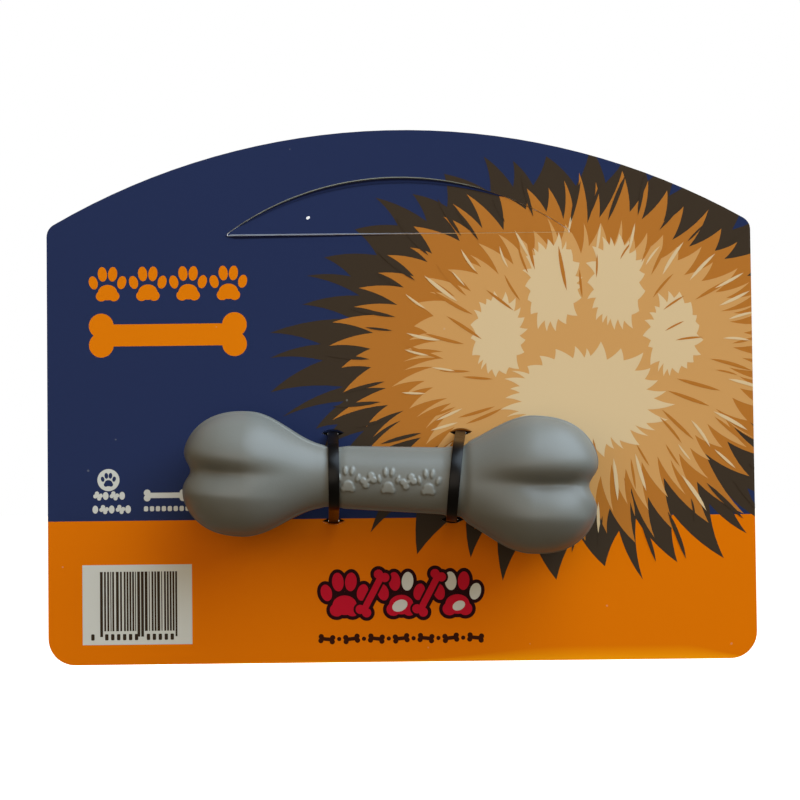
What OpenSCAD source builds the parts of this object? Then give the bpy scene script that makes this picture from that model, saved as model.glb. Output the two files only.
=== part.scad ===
// Rubber chew bone tied to an arched backing card with a fold-back hang flap.
// X runs along the card's width, Z is up, and the printed face looks towards -Y.
// The origin is where a peg bears: the top of the hang opening, in the middle of the board.

/* [Card] */
// Width of the backing card
card_w = 250; // [200:1:320]
// Height of the card at the middle of its arch
card_h = 188.5; // [165:0.5:260]
// Rise of the arched top edge above its two ends
arch_rise = 34; // [24:1:44]
// Thickness of the board
board_t = 0.6; // [0.4:0.05:1.2]
// Radius of the two bottom corners
bottom_corner_r = 9.5; // [4:0.5:18]
// Radius of the two top corners, where the arch meets the sides
top_corner_r = 5; // [3:0.5:12]

/* [Hang flap] */
// Width of the hang opening along its fold
flap_w = 124; // [90:1:150]
// Height of the hang opening over its fold
flap_h = 20.2; // [14:0.2:30]
// Distance from the card's top edge down to the opening
hang_drop = 17; // [10:0.5:30]
// Angle at which the flap rests behind the card's plane
flap_rest_angle = 1; // [0:0.5:8]

/* [Bone] */
// Length of the bone
bone_l = 141; // [130:1:165]
// Largest radius of the left knob
left_knob_r = 21.2; // [18:0.1:24]
// Distance from the left tip to the knob's largest section
left_knob_l = 21.5; // [18:0.5:25]
// Length over which the left knob narrows to the shaft
left_neck_l = 28.5; // [22:0.5:30]
// Largest radius of the right knob
right_knob_r = 23.3; // [20:0.1:26]
// Distance from the right tip to the knob's largest section
right_knob_l = 22.5; // [18:0.5:26]
// Length over which the right knob narrows to the shaft
right_neck_l = 31.5; // [24:0.5:33]
// Radius of the shaft at the left knob
shaft_left_r = 10.5; // [9:0.1:12]
// Radius of the shaft at the right knob
shaft_right_r = 11.3; // [9:0.1:12.5]
// Depth of the crease that splits the left knob into two lobes
left_crease_d = 5; // [2:0.1:6]
// Half width of the left crease
left_crease_w = 4.9; // [3:0.1:6.5]
// Depth of the left crease where it notches the tip
left_notch_d = 3.4; // [1:0.1:5]
// Half width of the notch in the left tip
left_notch_w = 3.5; // [2.5:0.1:5]
// Length of the left crease along the bone
left_crease_l = 42; // [30:1:46]
// Depth of the crease that splits the right knob into two lobes
right_crease_d = 7; // [3:0.1:8]
// Half width of the right crease
right_crease_w = 6.4; // [4:0.1:7.5]
// Depth of the right crease where it notches the tip
right_notch_d = 4.6; // [1:0.1:6]
// Half width of the notch in the right tip
right_notch_w = 4.3; // [2.5:0.1:6]
// Length of the right crease along the bone
right_crease_l = 42; // [30:1:46]
// Turn of the two creases about the bone's axis, upwards at the front
crease_turn = 1.2; // [0:0.2:12]

/* [Bone on the card] */
// Offset of the bone's middle from the card's middle, along X
bone_x = -3.6; // [-10:0.1:10]
// Height of the bone's middle above the card's bottom edge
bone_z = 65.2; // [55:0.1:75]
// Slope of the bone across the card, down to the right
bone_slope = 2.7; // [0:0.1:4]

/* [Ties] */
// Width of a tie's strap
strap_w = 3.6; // [2.5:0.1:4.8]
// Thickness of a tie's strap
strap_t = 1.1; // [0.8:0.05:1.4]
// Width of a tie's head
head_w = 5.8; // [5.4:0.1:8]
// Length of a tie's head along its strap
head_l = 6.4; // [5.4:0.1:9]
// Height of a tie's head off the card's back
head_h = 4.4; // [3.4:0.1:6]
// Length of trimmed tail that stands out of the head
tail_l = 1.2; // [0.4:0.1:6]
// Distance of the left tie's slits from the card's middle
left_tie_x = 24; // [20:0.1:28]
// Distance of the right tie's slits from the card's middle
right_tie_x = 19.7; // [16:0.1:24]
// Lean of the right tie in the card's plane, its top to the right
right_tie_lean = 6; // [0:0.5:8]
// Angle at which each tie runs in towards the shaft's middle
tie_turn = 3.3; // [0:0.1:5]
// Distance between the upper and the lower slit of a tie
slit_pitch = 31.2; // [29:0.1:36]
// Height of the middle of the slits above the card's bottom edge
slit_z = 65.4; // [60:0.1:70]
// Length of a slit
slit_l = 8; // [6:0.1:12]
// Height to which a strap spreads its slit
slit_open = 2.6; // [2:0.1:4]

/* [Clearances] */
// Gap cut around the flap
kerf = 0.2; // [0.1:0.05:0.4]
// Gap between the bone and the card
bone_gap = 0.2; // [0.05:0.05:0.5]
// Gap between a strap and what it passes
strap_gap = 0.15; // [0.05:0.05:0.3]
// Depth to which a strap presses into the rubber
pinch_d = 0.4; // [0:0.05:0.8]
// Room for the pawl in a tie's head
pawl_room = 0.7; // [0.4:0.05:1]

/* [Hidden] */

// Card and flap
overrun = 1;
card_top = hang_drop;
card_bottom = card_top - card_h;
arch_r = (pow(card_w / 2, 2) + pow(arch_rise, 2)) / (2 * arch_rise);
arch_mid_z = card_top - arch_r;
opening_r = (pow(flap_w / 2, 2) + pow(flap_h, 2)) / (2 * flap_h);
fold_z = kerf - flap_h;
front_y = -board_t / 2;
back_y = board_t / 2;
// The flap's pointed ends stop where the opening is tall enough for the board's edge to turn in
flap_end_z = fold_z + board_t + kerf;
flap_end_x = sqrt(pow(opening_r, 2) - pow(flap_end_z + opening_r, 2));
slit_r = (pow(slit_l, 2) + pow(slit_open, 2)) / (4 * slit_open);

// Bone: rings of points about its axis, with a profile of two full ends, two necks and a shaft
cap_rings = 13;
neck_rings = 12;
shaft_rings = 14;
ring_points = 48;
// Power of the curve that rounds the knobs' ends, between an ellipse's 2 and a square's infinity
left_fullness = 2.4;
right_fullness = 2.5;
// Distance from a tip in which its notch grows to the full crease, and that in which the crease keeps its depth
left_crease_rise = 12;
left_crease_hold = 8;
right_crease_rise = 10;
right_crease_hold = 18;
// Share of a ring's points that is drawn in to the creases
crease_point_share = 0.25;
// The pressed seat of a strap reaches past the strap's edges
pinch_w = 0.9 * strap_w;
// Angles off the bone's back, and places along a neck, where a lobe may come nearest the card
lobe_angles = [for (angle = [-60:1:60]) angle];
along_shares = [for (share = [0:0.05:0.5]) share];

shaft_x0 = left_knob_l + left_neck_l;
shaft_x1 = bone_l - right_knob_l - right_neck_l;

function ease(share) = (1 + cos(180 * share)) / 2;
function cap_angle(i) = 90 * pow(i / cap_rings, 1.3);
function cap_point(i, l, r, fullness) =
    [l * (1 - pow(cos(cap_angle(i)), 2 / fullness)), r * pow(sin(cap_angle(i)), 2 / fullness)];
function shaft_r(x) =
    shaft_left_r + (shaft_right_r - shaft_left_r) * (x - shaft_x0) / (shaft_x1 - shaft_x0);
// Radius between the two knobs' largest sections
function mid_r(x) =
    x < shaft_x0 ? shaft_left_r + (left_knob_r - shaft_left_r) * ease((x - left_knob_l) / left_neck_l)
    : x > shaft_x1 ? shaft_right_r + (right_knob_r - shaft_right_r)
        * ease((bone_l - right_knob_l - x) / right_neck_l)
    : shaft_r(x);
// Where a strap lies the rubber is pressed in to nearly one radius
function seat_share(x, tie_at) = exp(-pow((x - tie_at) / pinch_w, 4));
function pressed_r(x) =
    mid_r(x) - (mid_r(x) - left_seat_r) * seat_share(x, left_tie_at)
        - (mid_r(x) - right_seat_r) * seat_share(x, right_tie_at);

function fade(x, l) = x >= l ? 0 : ease(x / l);
// A crease's depth or half width at a distance from its tip
function grown(notch, full, x, rise) = full - (full - notch) * fade(x, rise);
function held(x, hold, l) = fade(max(x - hold, 0), l - hold);
function crease_d(x) =
    grown(left_notch_d, left_crease_d, x, left_crease_rise) * held(x, left_crease_hold, left_crease_l)
    + grown(right_notch_d, right_crease_d, bone_l - x, right_crease_rise)
        * held(bone_l - x, right_crease_hold, right_crease_l);
function crease_w(x) = x < bone_l / 2
    ? grown(left_notch_w, left_crease_w, x, left_crease_rise)
    : grown(right_notch_w, right_crease_w, bone_l - x, right_crease_rise);
// Bone on the card: each knob's two back lobes lie against the printed face
function lobe_reach(x) = max([for (angle = lobe_angles)
    (mid_r(x) - crease_d(x) * exp(-pow(mid_r(x) * sin(angle) / crease_w(x), 2))) * cos(angle - crease_turn)]);
left_lobe_reach = max([for (share = along_shares) lobe_reach(left_knob_l + share * left_neck_l)]);
right_lobe_reach = max([for (share = along_shares) lobe_reach(bone_l - right_knob_l - share * right_neck_l)]);
left_axis_y = front_y - bone_gap - left_lobe_reach;
right_axis_y = front_y - bone_gap - right_lobe_reach;
knob_pitch = bone_l - left_knob_l - right_knob_l;
bone_turn = asin((right_axis_y - left_axis_y) / knob_pitch);
// Values along the bone's axis at a place given by its X on the card
function along(x) = bone_l / 2 + (x - bone_x) / cos(bone_slope);
function axis_y(x) = left_axis_y + (along(x) - left_knob_l) * tan(bone_turn);
function axis_z(x) = card_bottom + bone_z - (x - bone_x) * tan(bone_slope);

// Ties: each loop's plane passes its slits and turns in towards the shaft's middle
left_loop_x = -left_tie_x - axis_y(-left_tie_x) * tan(tie_turn);
right_loop_x = right_tie_x + axis_y(right_tie_x) * tan(tie_turn);
left_tie_at = along(left_loop_x);
right_tie_at = along(right_loop_x);
left_seat_r = mid_r(left_tie_at) - pinch_d;
right_seat_r = mid_r(right_tie_at) - pinch_d;
// A loop stands askew on the shaft, so it clears the widest rubber that its two edges reach
left_skew = norm([bone_slope, tie_turn - bone_turn]);
right_skew = norm([right_tie_lean - bone_slope, tie_turn + bone_turn]);
function bearing_r(tie_at, seat_r, skew) =
    let(reach = strap_w / 2 + seat_r * tan(skew))
    max([for (share = [-1:0.1:1]) pressed_r(tie_at + share * reach)]) / cos(skew)
        + strap_w / 2 * tan(skew) + strap_gap;
left_loop_r = bearing_r(left_tie_at, left_seat_r, left_skew);
right_loop_r = bearing_r(right_tie_at, right_seat_r, right_skew);
slit_mid_z = card_bottom + slit_z;
// The head's edge that turns towards the card stays clear of it
strap_back_y = back_y + strap_gap + head_w / 2 * sin(tie_turn);
window_z = -head_l / 8;

// Bone: its profile, then its points and faces
function half_steps(count) = [for (i = [1:count]) i / count];
profile = concat(
    [for (i = [0:cap_rings]) cap_point(i, left_knob_l, left_knob_r, left_fullness)],
    [for (share = half_steps(neck_rings)) let(x = left_knob_l + share * left_neck_l) [x, pressed_r(x)]],
    [for (share = half_steps(shaft_rings)) let(x = shaft_x0 + share * (shaft_x1 - shaft_x0)) [x, pressed_r(x)]],
    [for (share = half_steps(neck_rings)) let(x = shaft_x1 + share * right_neck_l) [x, pressed_r(x)]],
    [for (i = [1:cap_rings]) let(p = cap_point(cap_rings - i, right_knob_l, right_knob_r, right_fullness))
        [bone_l - p[0], p[1]]]);
rings = len(profile);

function tangent(i) = profile[min(i + 1, rings - 1)] - profile[max(i - 1, 0)];
function outward(i) = let(t = tangent(i)) i == 0 ? [-1, 0] : i == rings - 1 ? [1, 0] : [-t[1], t[0]] / norm(t);
function ring_angle(j) =
    let(even = 360 * j / ring_points) crease_turn + even - crease_point_share * sin(2 * even) * 180 / PI;
// Point j of ring i: on the profile, then drawn in by the crease, which follows the height over it
function bone_point(i, j) =
    let(x = profile[i][0], r = profile[i][1], a = ring_angle(j), h = r * sin(a - crease_turn),
        d = crease_d(x) * exp(-pow(h / crease_w(x), 2)), n = outward(i))
    [x - d * n[0], -(r - d * n[1]) * cos(a), (r - d * n[1]) * sin(a)];
bone_points = concat(
    [bone_point(0, 0)],
    [for (i = [1:rings - 2], j = [0:ring_points - 1]) bone_point(i, j)],
    [bone_point(rings - 1, 0)]);
function at(i, j) = 1 + (i - 1) * ring_points + j % ring_points;
last_point = len(bone_points) - 1;
bone_faces = concat(
    [for (j = [0:ring_points - 1]) [0, at(1, j), at(1, j + 1)]],
    [for (i = [1:rings - 3], j = [0:ring_points - 1]) [at(i, j), at(i + 1, j), at(i + 1, j + 1)]],
    [for (i = [1:rings - 3], j = [0:ring_points - 1]) [at(i, j), at(i + 1, j + 1), at(i, j + 1)]],
    [for (j = [0:ring_points - 1]) [last_point, at(rings - 2, j + 1), at(rings - 2, j)]]);

// One corner of the arched top, rounded: what lies outside the corner's circle
module top_corner_waste() {
    round_mid = [card_w / 2 - top_corner_r,
        arch_mid_z + sqrt(pow(arch_r - top_corner_r, 2) - pow(card_w / 2 - top_corner_r, 2))];
    out = (round_mid - [0, arch_mid_z]) / norm(round_mid - [0, arch_mid_z]);
    difference() {
        polygon([round_mid, [card_w / 2 + overrun, round_mid[1]],
            [card_w / 2 + overrun, card_top - arch_rise + overrun], round_mid + out * (top_corner_r + overrun)]);
        translate(round_mid) circle(r = top_corner_r, $fn = 64);
    }
}

module bottom_corner_waste() {
    difference() {
        translate([card_w / 2 - bottom_corner_r, card_bottom - overrun])
            square([bottom_corner_r + overrun, bottom_corner_r + overrun]);
        translate([card_w / 2 - bottom_corner_r, card_bottom + bottom_corner_r])
            circle(r = bottom_corner_r, $fn = 64);
    }
}

module card_outline() {
    difference() {
        intersection() {
            translate([-card_w / 2, card_bottom]) square([card_w, card_h]);
            translate([0, arch_mid_z]) circle(r = arch_r, $fn = 360);
        }
        for (side = [0, 1]) mirror([side, 0]) {
            top_corner_waste();
            bottom_corner_waste();
        }
    }
}

// The part of a circle that lies over a level line, with its top at the given height
module cap_outline(r, top_z, level_z) {
    intersection() {
        translate([0, top_z - r]) circle(r = r, $fn = 240);
        translate([-r, level_z]) square([2 * r, top_z - level_z + overrun]);
    }
}

module slit_outline() {
    intersection_for(side = [-1, 1]) {
        translate([0, side * (slit_r - slit_open / 2)]) circle(r = slit_r, $fn = 96);
    }
}

// Drawn in X and Z, with the board's thickness about the middle plane
module board(t) {
    rotate([90, 0, 0]) linear_extrude(height = t, center = true) children();
}

module backing_card() {
    color([0.13, 0.17, 0.30])
    difference() {
        board(board_t) card_outline();
        board(board_t + overrun) cap_outline(opening_r, 0, -flap_h);
        for (end = [-1, 1]) {
            tie_place(-left_tie_x, 0, 0) translate([0, 0, end * slit_pitch / 2])
                board(board_t + overrun) slit_outline();
            tie_place(right_tie_x, right_tie_lean, 0) translate([0, 0, end * slit_pitch / 2])
                rotate([0, -right_tie_lean, 0]) board(board_t + overrun) slit_outline();
        }
    }
}

module hang_flap() {
    color([0.16, 0.20, 0.34])
    translate([0, back_y, fold_z]) rotate([-flap_rest_angle, 0, 0]) translate([0, -back_y, -fold_z])
        board(board_t) intersection() {
            cap_outline(opening_r - kerf, -kerf, fold_z);
            translate([-flap_end_x, fold_z]) square([2 * flap_end_x, flap_h]);
        }
}

module rubber_bone() {
    color([0.50, 0.54, 0.54])
    translate([bone_x, axis_y(bone_x), axis_z(bone_x)])
        rotate([0, bone_slope, bone_turn]) translate([-bone_l / 2, 0, 0])
            polyhedron(points = bone_points, faces = bone_faces, convexity = 4);
}

// A tie's own frame: its origin midway between its slits, X across the strap
module tie_place(x, lean, turn) {
    translate([x, 0, slit_mid_z]) rotate([0, lean, 0]) rotate([0, 0, turn]) children();
}

// Drawn in Y and Z, across the given width
module tie_slice(w) {
    rotate([90, 0, 90]) linear_extrude(height = w, center = true) children();
}

// The space inside a loop that lies at distance gap off the rubber: a round front,
// two straight runs through the slits and a flat back
module loop_fill(mid, r, gap) {
    y1 = strap_back_y + gap;
    mid_line_r = r + strap_t / 2;
    function lift(end) = let(to_slit = [-mid[0], slit_pitch / 2 - end * mid[1]])
        atan2(to_slit[1], to_slit[0]) + acos(mid_line_r / norm(to_slit));
    function foot(end) = mid + (r + gap) * [cos(lift(end)), end * sin(lift(end))];
    function back(end) = let(f = foot(end)) [y1, f[1] + (f[0] - y1) / tan(lift(end)) * end];
    translate(mid) circle(r = r + gap, $fn = 96);
    polygon([foot(1), back(1), back(-1), foot(-1)]);
}

module cable_tie(mid, r) {
    tail_top = strap_back_y + head_h + tail_l;
    passage_l = strap_t + strap_gap;
    // The head, with its window and the passage that the free end comes up in
    difference() {
        tie_slice(head_w) translate([strap_back_y, -head_l / 2]) square([head_h, head_l]);
        tie_slice(strap_w + 2 * strap_gap) {
            translate([strap_back_y - overrun, window_z - strap_t / 2 - strap_gap])
                square([head_h + 2 * overrun, passage_l + pawl_room]);
            translate([strap_back_y - overrun, -head_l / 2 - strap_gap])
                square([passage_l + overrun, head_l / 2 + strap_gap + window_z]);
        }
    }
    // The strap: round the bone from the head's top, up behind the card, out of the window and cut short
    tie_slice(strap_w) {
        difference() {
            loop_fill(mid, r, strap_t);
            loop_fill(mid, r, 0);
            translate([strap_back_y - overrun, window_z + strap_t / 2]) square([strap_t + 2 * overrun, pawl_room]);
        }
        translate([strap_back_y, window_z - strap_t / 2]) square([tail_top - strap_back_y, strap_t]);
    }
    // The pawl on the window's far wall, its edge close to the free end
    tie_slice(strap_w) translate([strap_back_y, window_z + strap_t / 2])
        polygon([[head_h * 0.35, pawl_room + overrun / 2], [head_h * 0.35, pawl_room],
            [head_h * 0.7, pawl_room / 8], [head_h * 0.8, pawl_room], [head_h * 0.8, pawl_room + overrun / 2]]);
}

// The middle of a loop, seen in the tie's own frame
function loop_mid(x, loop_x) = [axis_y(x) / cos(tie_turn), axis_z(loop_x) - slit_mid_z];

module cable_tie_left() {
    color([0.05, 0.05, 0.05])
    tie_place(-left_tie_x, 0, tie_turn) cable_tie(loop_mid(-left_tie_x, left_loop_x), left_loop_r);
}

module cable_tie_right() {
    color([0.05, 0.05, 0.05])
    tie_place(right_tie_x, right_tie_lean, -tie_turn) cable_tie(loop_mid(right_tie_x, right_loop_x), right_loop_r);
}

backing_card();
hang_flap();
rubber_bone();
cable_tie_left();
cable_tie_right();
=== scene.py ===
# Rubber chew bone tied to an arched backing card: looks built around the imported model.
import math
import random

import bmesh
import bpy
from mathutils import Matrix, Vector


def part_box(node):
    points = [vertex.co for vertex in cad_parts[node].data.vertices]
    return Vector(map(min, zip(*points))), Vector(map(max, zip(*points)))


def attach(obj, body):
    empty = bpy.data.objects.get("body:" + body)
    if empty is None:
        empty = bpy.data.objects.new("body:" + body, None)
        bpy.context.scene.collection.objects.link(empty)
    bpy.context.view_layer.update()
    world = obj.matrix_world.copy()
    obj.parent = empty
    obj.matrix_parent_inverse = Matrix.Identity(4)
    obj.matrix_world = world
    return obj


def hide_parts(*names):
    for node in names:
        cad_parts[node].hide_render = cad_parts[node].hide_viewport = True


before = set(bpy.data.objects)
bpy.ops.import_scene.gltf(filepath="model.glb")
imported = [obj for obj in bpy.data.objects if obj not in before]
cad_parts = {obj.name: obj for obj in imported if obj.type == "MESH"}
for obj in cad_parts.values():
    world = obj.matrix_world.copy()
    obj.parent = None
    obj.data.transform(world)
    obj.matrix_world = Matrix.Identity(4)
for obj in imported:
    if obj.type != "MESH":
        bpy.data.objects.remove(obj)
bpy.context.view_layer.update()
mm = 0.001  # pieces are drawn in millimetres and finished in metres
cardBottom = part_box("backing_card")[0].z / mm
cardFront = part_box("backing_card")[0].y / mm
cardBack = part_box("backing_card")[1].y / mm
weld = 1e-4  # mm within which two points are one


# Helpers

def tone(colour):
    # a colour as the screen shows it, 0 to 255, made linear for the shaders
    def linear(value):
        share = value / 255
        return share / 12.92 if share <= 0.04045 else ((share + 0.055) / 1.055) ** 2.4
    return (*(linear(value) for value in colour), 1)


def turn(degrees, axis):
    return Matrix.Rotation(math.radians(degrees), 4, axis)


def leaned(x, height, degrees):
    # a point turned about the origin, from upright towards the right
    c, s = math.cos(math.radians(degrees)), math.sin(math.radians(degrees))
    return x * c + height * s, height * c - x * s


def ease(share):
    # 1 at 0 and 0 at 1, level at both ends
    return (1 + math.cos(math.pi * min(max(share, 0), 1))) / 2


def between(first, second, share):
    return first + (second - first) * share


def vary(dice, least, more):
    # a random value over the least one
    return least + more * dice.random()


def swing(dice, span, shift):
    # a random value to both sides of zero
    return span * (dice.random() - shift)


def linkObject(name, data):
    item = bpy.data.objects.new(name, data)
    bpy.context.scene.collection.objects.link(item)
    return item


def meshFrom(bm, name, scale=mm):
    bmesh.ops.scale(bm, vec=(scale, scale, scale), verts=bm.verts)
    mesh = bpy.data.meshes.new(name)
    bm.to_mesh(mesh)
    bm.free()
    return mesh


def makePiece(name, bm, material, body, smoothAngle=None):
    piece = linkObject(name, meshFrom(bm, name))
    piece.data.materials.append(material)
    if smoothAngle:
        piece.data.shade_smooth()
        piece.data.set_sharp_from_angle(angle=math.radians(smoothAngle))
    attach(piece, body)
    return piece


def bevel(bm, geom, offset, segments, affect):
    bmesh.ops.bevel(
        bm, geom=geom, offset=offset, segments=segments, profile=0.5, affect=affect, material=-1)


def addRectangle(bm, width, height):
    # in the X Y plane, about the origin
    verts = bmesh.ops.create_grid(bm, x_segments=1, y_segments=1, size=0.5)["verts"]
    bmesh.ops.scale(bm, vec=(width, height, 1), verts=verts)
    return verts


def addBlock(bm, low, high, edge=0):
    verts = bmesh.ops.create_cube(bm, size=1)["verts"]
    low, high = Vector(low), Vector(high)
    bmesh.ops.scale(bm, vec=high - low, verts=verts)
    bmesh.ops.translate(bm, vec=(low + high) / 2, verts=verts)
    if edge:
        bevel(bm, list({item for vert in verts for item in vert.link_edges}), edge, 3, "EDGES")


def stretchFaces(bm, start, end):
    # flat faces in the X Z plane become solids that reach from one depth to the other
    bmesh.ops.translate(bm, vec=(0, start, 0), verts=bm.verts)
    made = bmesh.ops.extrude_face_region(bm, geom=bm.faces[:], use_keep_orig=True)
    moved = [item for item in made["geom"] if isinstance(item, bmesh.types.BMVert)]
    bmesh.ops.translate(bm, vec=(0, end - start, 0), verts=moved)
    bmesh.ops.recalc_face_normals(bm, faces=bm.faces)


def carve(name, solidBm, cutBm, operation="DIFFERENCE", selfCross=False):
    # one solid cut by another with the exact solver; both are used up
    solid = linkObject(name, meshFrom(solidBm, name, 1))
    cutter = linkObject(name + "Cutter", meshFrom(cutBm, name + "Cutter", 1))
    cut = solid.modifiers.new("cut", "BOOLEAN")
    cut.operation = operation
    cut.solver = "EXACT"
    cut.use_self = selfCross
    cut.object = cutter
    shaped = bpy.data.meshes.new_from_object(
        solid.evaluated_get(bpy.context.evaluated_depsgraph_get()))
    result = bmesh.new()
    result.from_mesh(shaped)
    for item in (solid, cutter):
        data = item.data
        bpy.data.objects.remove(item)
        bpy.data.meshes.remove(data)
    bpy.data.meshes.remove(shaped)
    return result


def addNode(tree, kind, inputs=None, **settings):
    node = tree.nodes.new(kind)
    for key, value in settings.items():
        setattr(node, key, value)
    for key, value in (inputs or {}).items():
        node.inputs[key].default_value = value
    return node


def feed(tree, socket, value):
    # a socket gets a fixed value or what another node gives
    if isinstance(value, bpy.types.NodeSocket):
        tree.links.new(value, socket)
    else:
        socket.default_value = value


def paint(tree, node, **sockets):
    for key, value in sockets.items():
        feed(tree, node.inputs[key.replace("_", " ")], value)


def mathNode(tree, operation, *values, clamp=False):
    node = addNode(tree, "ShaderNodeMath", operation=operation, use_clamp=clamp)
    for socket, value in zip(node.inputs, values):
        feed(tree, socket, value)
    return node.outputs[0]


def mixColours(tree, mask, first, second):
    node = addNode(tree, "ShaderNodeMix", data_type="RGBA")
    for index, value in ((0, mask), (6, first), (7, second)):
        feed(tree, node.inputs[index], value)
    return node.outputs[2]


def mixValues(tree, mask, first, second):
    node = addNode(tree, "ShaderNodeMix", data_type="FLOAT")
    for index, value in ((0, mask), (2, first), (3, second)):
        feed(tree, node.inputs[index], value)
    return node.outputs[0]


def coordinate(tree, axis, space="Object"):
    # one part of a point's place, or of the way that its face looks
    split = addNode(tree, "ShaderNodeSeparateXYZ")
    tree.links.new(addNode(tree, "ShaderNodeTexCoord").outputs[space], split.inputs[0])
    return split.outputs[axis]


def noise(tree, scale, detail, roughness):
    node = addNode(tree, "ShaderNodeTexNoise")
    paint(tree, node, Scale=scale, Detail=detail, Roughness=roughness)
    tree.links.new(addNode(tree, "ShaderNodeTexCoord").outputs["Object"], node.inputs["Vector"])
    return node.outputs["Fac"]


def attribute(tree, name):
    # a value that the mesh carries point by point
    return addNode(tree, "ShaderNodeAttribute", attribute_name=name).outputs["Fac"]


def smoothSpan(tree, value, start, end):
    # 0 at the start and 1 at the end, with soft ends
    values = {"From Min": start, "From Max": end}
    ramp = addNode(tree, "ShaderNodeMapRange", values, interpolation_type="SMOOTHSTEP")
    tree.links.new(value, ramp.inputs[0])
    return ramp.outputs[0]


def bumpFrom(tree, shader, height, distance, strength):
    bump = addNode(tree, "ShaderNodeBump", {"Distance": distance, "Strength": strength})
    tree.links.new(height, bump.inputs["Height"])
    tree.links.new(bump.outputs[0], shader.inputs["Normal"])


def newMaterial(name, **sockets):
    material = bpy.data.materials.new(name)
    material.use_nodes = True
    tree = material.node_tree
    shader = tree.nodes["Principled BSDF"]
    paint(tree, shader, **sockets)
    return material, tree, shader


def newGroup(name, inputs, outputs):
    # an effect for several materials; its sockets are given as labels and kinds
    group = bpy.data.node_groups.new(name, "ShaderNodeTree")
    for way, sockets in (("INPUT", inputs), ("OUTPUT", outputs)):
        for label, kind in sockets.items():
            group.interface.new_socket(label, in_out=way, socket_type="NodeSocket" + kind)
    return group, addNode(group, "NodeGroupInput").outputs, addNode(group, "NodeGroupOutput")


def mottleGroup():
    # clouds of two colours, and roughness that follows them
    group, given, end = newGroup(
        "mottle",
        {
            "Scale": "Float", "Detail": "Float", "Grain": "Float", "Roughness Change": "Float",
            "Least Roughness": "Float", "First Color": "Color", "Second Color": "Color",
        },
        {"Color": "Color", "Roughness": "Float", "Cloud": "Float"},
    )
    cloud = noise(group, given["Scale"], given["Detail"], given["Grain"])
    colour = mixColours(group, cloud, given["First Color"], given["Second Color"])
    change = given["Roughness Change"]
    rough = mathNode(group, "MULTIPLY_ADD", cloud, change, given["Least Roughness"])
    paint(group, end, Color=colour, Roughness=rough, Cloud=cloud)
    return group


mottle = mottleGroup()


def mottled(tree, texture, colours, roughness=(0, 0)):
    # texture: scale, detail and grain of the clouds; roughness: its change with them and its least
    node = addNode(tree, "ShaderNodeGroup", node_tree=mottle)
    first, second = (tone(colour) for colour in colours)
    scale, detail, grain = texture
    change, least = roughness
    paint(tree, node, Scale=scale, Detail=detail, Grain=grain, First_Color=first, Second_Color=second)
    paint(tree, node, Roughness_Change=change, Least_Roughness=least)
    return node.outputs


# Camera, light and floor

cameraView = {
    "place": (0.20, -480.0, -90.64),  # mm from the top of the hang opening
    "pitch": 1.376,
    "yaw": -0.029,
    "roll": -0.638,
    "focalPixels": 1354.7,
    "imagePixels": 800,
    "sensorWidth": 36,
}
studio = {
    "aim": (0, 0, -90),
    "roomForDiffuse": 0.25,
    "roomForGloss": 0.12,  # what low gloss picks up from the room
    "roomTint": (1.5, 1.0, 0.5),
    "floorDrop": 300,  # mm from the card's bottom edge down to the floor
    "floorHalf": 6000,
    "floorTone": (238, 238, 236),
    "floorBounce": (0.10, 0.075, 0.045),
    "floorLift": 0.95,
    "lamps": {  # place in mm, size in m, watts, colour
        "window": ((1000, -570, 1280), (2.3, 2.0), 75.0, (0.80, 0.99, 1.20)),
        "front": ((-300, -1500, 100), (1.6, 1.2), 7.5, (1.14, 1.0, 0.85)),
        "behind": ((-700, 1500, 400), (1.8, 1.6), 30.0, (1.0, 1.0, 1.0)),
    },
}


def makeCamera(values):
    data = bpy.data.cameras.new("camera")
    data.sensor_width = values["sensorWidth"]
    data.lens = values["focalPixels"] / values["imagePixels"] * data.sensor_width
    camera = linkObject("camera", data)
    camera.matrix_world = (
        Matrix.Translation(Vector(values["place"]) * mm)
        @ turn(-values["yaw"], "Z")
        @ turn(90 + values["pitch"], "X")
        @ turn(values["roll"], "Z")
    )
    bpy.context.scene.camera = camera
    bpy.context.scene.view_settings.view_transform = "Standard"


def makeLamp(name, place, size, watts, colour):
    data = bpy.data.lights.new(name, "AREA")
    data.shape = "RECTANGLE"
    data.size, data.size_y = size
    data.energy = watts
    data.color = colour
    lamp = linkObject(name, data)
    lamp.location = Vector(place) * mm
    aim = Vector(studio["aim"]) * mm - lamp.location
    lamp.rotation_euler = aim.to_track_quat("-Z", "Y").to_euler()


def rayShares(tree):
    # 1 for rays that see the room directly or through something clear, and 1 for gloss
    path = addNode(tree, "ShaderNodeLightPath").outputs
    seen = mathNode(tree, "MAXIMUM", path["Is Camera Ray"], path["Is Transmission Ray"])
    return seen, path["Is Glossy Ray"]


def makeRoom():
    world = bpy.data.worlds.new("studio")
    bpy.context.scene.world = world
    world.use_nodes = True
    tree = world.node_tree
    background = tree.nodes["Background"]
    seen, gloss = rayShares(tree)
    ambient = studio["roomForDiffuse"]
    change = mathNode(tree, "MULTIPLY", gloss, studio["roomForGloss"] - ambient)
    level = mathNode(tree, "MAXIMUM", mathNode(tree, "ADD", ambient, change), seen)
    tint = mixColours(tree, seen, (*studio["roomTint"], 1), (1, 1, 1, 1))
    paint(tree, background, Color=tint, Strength=level)


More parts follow.
